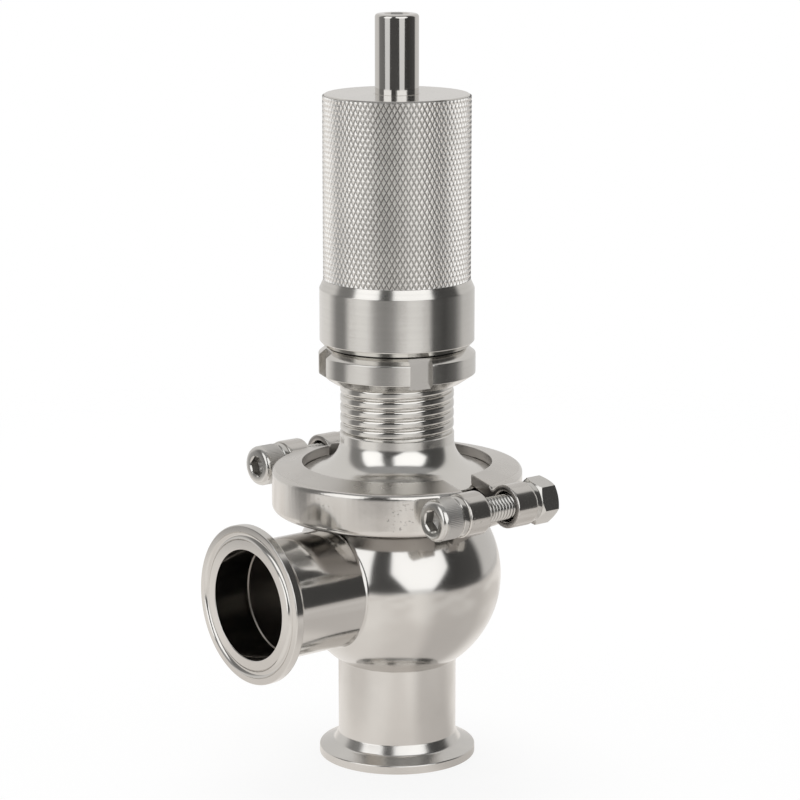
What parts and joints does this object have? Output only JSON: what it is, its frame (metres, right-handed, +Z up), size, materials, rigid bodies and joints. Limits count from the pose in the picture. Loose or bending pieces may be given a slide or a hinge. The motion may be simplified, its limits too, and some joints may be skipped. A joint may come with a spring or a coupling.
{
  "type": "sanitary safety valve",
  "caption": "Angle pattern sanitary safety valve with clamp ferrule ends, ball body, clamped bonnet and knurled adjusting cap.",
  "frame": {"origin": "centre of the inlet ferrule's face, on the spindle's axis", "axes": "+Z up along the spindle from inlet to stem, outlet pointing along -X"},
  "size_m": [0.0999, 0.1058, 0.2398],
  "materials": {
    "mirror_steel": "mirror polished stainless steel",
    "turned_steel": "finely turned stainless steel",
    "cast_steel": "polished casting with small pits",
    "fastener_steel": "plain stainless fastener",
    "spring_steel": "drawn spring wire",
    "seal_rubber": "smooth food grade rubber",
    "bearing_plastic": "machined PTFE"
  },
  "bodies": {
    "valve_body": {"inlet_ferrule": "turned_steel", "outlet_ferrule": "mirror_steel", "top_ferrule": "turned_steel", "ball_body": "mirror_steel", "valve_seat": "turned_steel", "bonnet": "mirror_steel", "bonnet_neck": "turned_steel", "bonnet_gasket": "seal_rubber", "clamp_half_outlet_side": "cast_steel", "clamp_half_rear": "cast_steel", "clamp_screws": "fastener_steel", "head_washers": "fastener_steel", "nut_washers": "fastener_steel", "clamp_nuts": "fastener_steel", "guide_bush": "bearing_plastic", "stem_seal": "seal_rubber"},
    "spring_carrier": {"spring_top_seat": "turned_steel", "thrust_washer": "bearing_plastic", "spring": "spring_steel"},
    "cap": {"adjusting_cap": "turned_steel"},
    "locking_nut": {"lock_nut": "turned_steel"},
    "spindle_group": {"spindle": "mirror_steel", "spring_bottom_seat": "turned_steel", "retaining_ring": "fastener_steel", "valve_disc": "turned_steel", "disc_seal": "seal_rubber", "disc_lock_nut": "turned_steel"}
  },
  "joints": [
    {"name": "cap_turn", "type": "hinge", "parent": "spring_carrier", "child": "cap", "pos_m": [0, 0, 0.175], "axis": [0, 0, 1], "range_deg": [-900, 360]},
    {"name": "cap_travel", "type": "slide", "parent": "valve_body", "child": "spring_carrier", "axis": [0, 0, 1], "range_m": [-0.008, 0.0032], "deforming": ["spring"]},
    {"name": "lock_nut_turn", "type": "hinge", "parent": "spring_carrier", "child": "locking_nut", "pos_m": [0, 0, 0.1297], "axis": [0, 0, 1], "range_deg": [-90, 0]},
    {"name": "valve_lift", "type": "slide", "parent": "valve_body", "child": "spindle_group", "axis": [0, 0, 1], "range_m": [0, 0.008], "stiffness_N_per_m": 15000, "deforming": ["spring"]}
  ],
  "couplings": [
    {"joint": "cap_travel", "follows": "cap_turn", "m_per_rad": 0.00050929}
  ]
}
